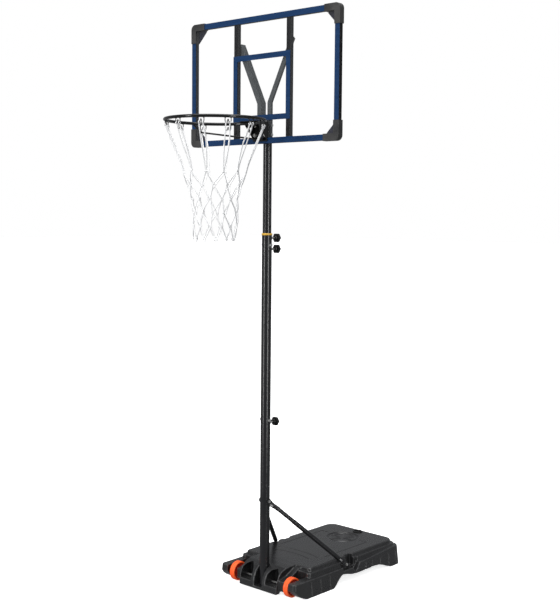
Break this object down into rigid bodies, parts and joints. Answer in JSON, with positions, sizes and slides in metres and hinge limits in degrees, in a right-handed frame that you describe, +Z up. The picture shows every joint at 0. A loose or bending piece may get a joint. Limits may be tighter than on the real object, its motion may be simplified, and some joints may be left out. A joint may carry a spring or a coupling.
{
  "type": "portable basketball hoop",
  "caption": "Portable basketball hoop: framed clear backboard with rim and net on a telescoping pole, braced to a wheeled ballast tank",
  "frame": {"origin": "centre of the bounding box in plan, on the floor plane under the tank's feet", "axes": "+Z is up along the pole, -Y is the side the rim hangs on, +X is to the right when facing the backboard from the rim side"},
  "size_m": [0.916, 1.332, 2.662],
  "materials": {
    "tank_plastic": "black moulded polyethylene, fine grain",
    "frame_black": "black powder coat",
    "pole_black": "satin black powder coat",
    "arm_grey": "dark grey powder coat",
    "rim_black": "gloss black powder coat",
    "cap_plastic": "dark grey moulded plastic",
    "gusset_plastic": "blue-black moulded plastic",
    "black_plastic": "black moulded plastic",
    "yellow_plastic": "yellow moulded plastic",
    "orange_plastic": "orange moulded plastic",
    "blue_print": "navy blue printed film",
    "clear_panel": "clear polycarbonate sheet",
    "zinc": "zinc plated",
    "net_cord": "white braided cord"
  },
  "bodies": {
    "base": {"tank": "tank_plastic", "axle_rod": "zinc", "lower_pole": "pole_black", "mid_pole": "pole_black", "collar": "yellow_plastic", "strut_left": "pole_black", "strut_right": "pole_black", "strut_top_bolt": "zinc", "strut_foot_bolt_left": "zinc", "strut_foot_bolt_right": "zinc", "joint_bolt": "zinc", "knob_nut_1": "zinc", "knob_nut_2": "zinc", "knob_nut_3": "zinc"},
    "wheel_left": {"wheel_left": "orange_plastic"},
    "wheel_right": {"wheel_right": "orange_plastic"},
    "upper": {"upper_pole": "pole_black", "pole_cap": "black_plastic", "arm_left": "arm_grey", "arm_right": "arm_grey", "arm_bolt_1": "zinc", "arm_bolt_2": "zinc", "arm_screw_left": "zinc", "arm_screw_right": "zinc", "rail_top": "frame_black", "rail_bottom": "frame_black", "rail_left": "frame_black", "rail_right": "frame_black", "upright_left": "frame_black", "upright_right": "frame_black", "corner_cap_top_left": "cap_plastic", "corner_cap_top_right": "cap_plastic", "corner_cap_bottom_left": "cap_plastic", "corner_cap_bottom_right": "cap_plastic", "gusset_top_left": "gusset_plastic", "gusset_top_right": "gusset_plastic", "gusset_bottom_left": "gusset_plastic", "gusset_bottom_right": "gusset_plastic", "panel": "clear_panel", "border_print": "blue_print", "target_print": "blue_print", "rim_ring": "rim_black", "rim_bracket": "rim_black", "rim_back_plate": "rim_black", "rim_brace_left": "rim_black", "rim_brace_right": "rim_black", "rim_hooks": "rim_black", "rim_bolt_1": "zinc", "rim_bolt_2": "zinc", "rim_bolt_3": "zinc", "rim_bolt_4": "zinc", "net": "net_cord"},
    "knob_1": {"knob_handle_1": "black_plastic", "knob_stud_1": "zinc"},
    "knob_2": {"knob_handle_2": "black_plastic", "knob_stud_2": "zinc"},
    "knob_3": {"knob_handle_3": "black_plastic", "knob_stud_3": "zinc"},
    "height_bolt": {"height_bolt": "zinc"},
    "filler_cap": {"filler_cap": "black_plastic"}
  },
  "joints": [
    {"name": "wheel_left_spin", "type": "hinge", "parent": "base", "child": "wheel_left", "pos_m": [-0.172, -0.105, 0.048], "axis": [1, 0, 0], "continuous": true},
    {"name": "wheel_right_spin", "type": "hinge", "parent": "base", "child": "wheel_right", "pos_m": [0.172, -0.105, 0.048], "axis": [1, 0, 0], "continuous": true},
    {"name": "height_slide", "type": "slide", "parent": "base", "child": "upper", "axis": [0, 0, 1], "range_m": [-0.41, 0.082]},
    {"name": "knob_1_turn", "type": "hinge", "parent": "base", "child": "knob_1", "pos_m": [0, -0.055, 1.655], "axis": [0, 1, 0], "continuous": true},
    {"name": "knob_2_turn", "type": "hinge", "parent": "base", "child": "knob_2", "pos_m": [0, -0.055, 1.604], "axis": [0, 1, 0], "continuous": true},
    {"name": "knob_3_turn", "type": "hinge", "parent": "base", "child": "knob_3", "pos_m": [0, -0.055, 0.792], "axis": [0, 1, 0], "continuous": true},
    {"name": "height_bolt_pull", "type": "slide", "parent": "base", "child": "height_bolt", "axis": [1, 0, 0], "range_m": [0, 0.09]},
    {"name": "filler_cap_turn", "type": "hinge", "parent": "base", "child": "filler_cap", "pos_m": [0, 0.605, 0.12], "axis": [0, 0, 1], "continuous": true}
  ]
}
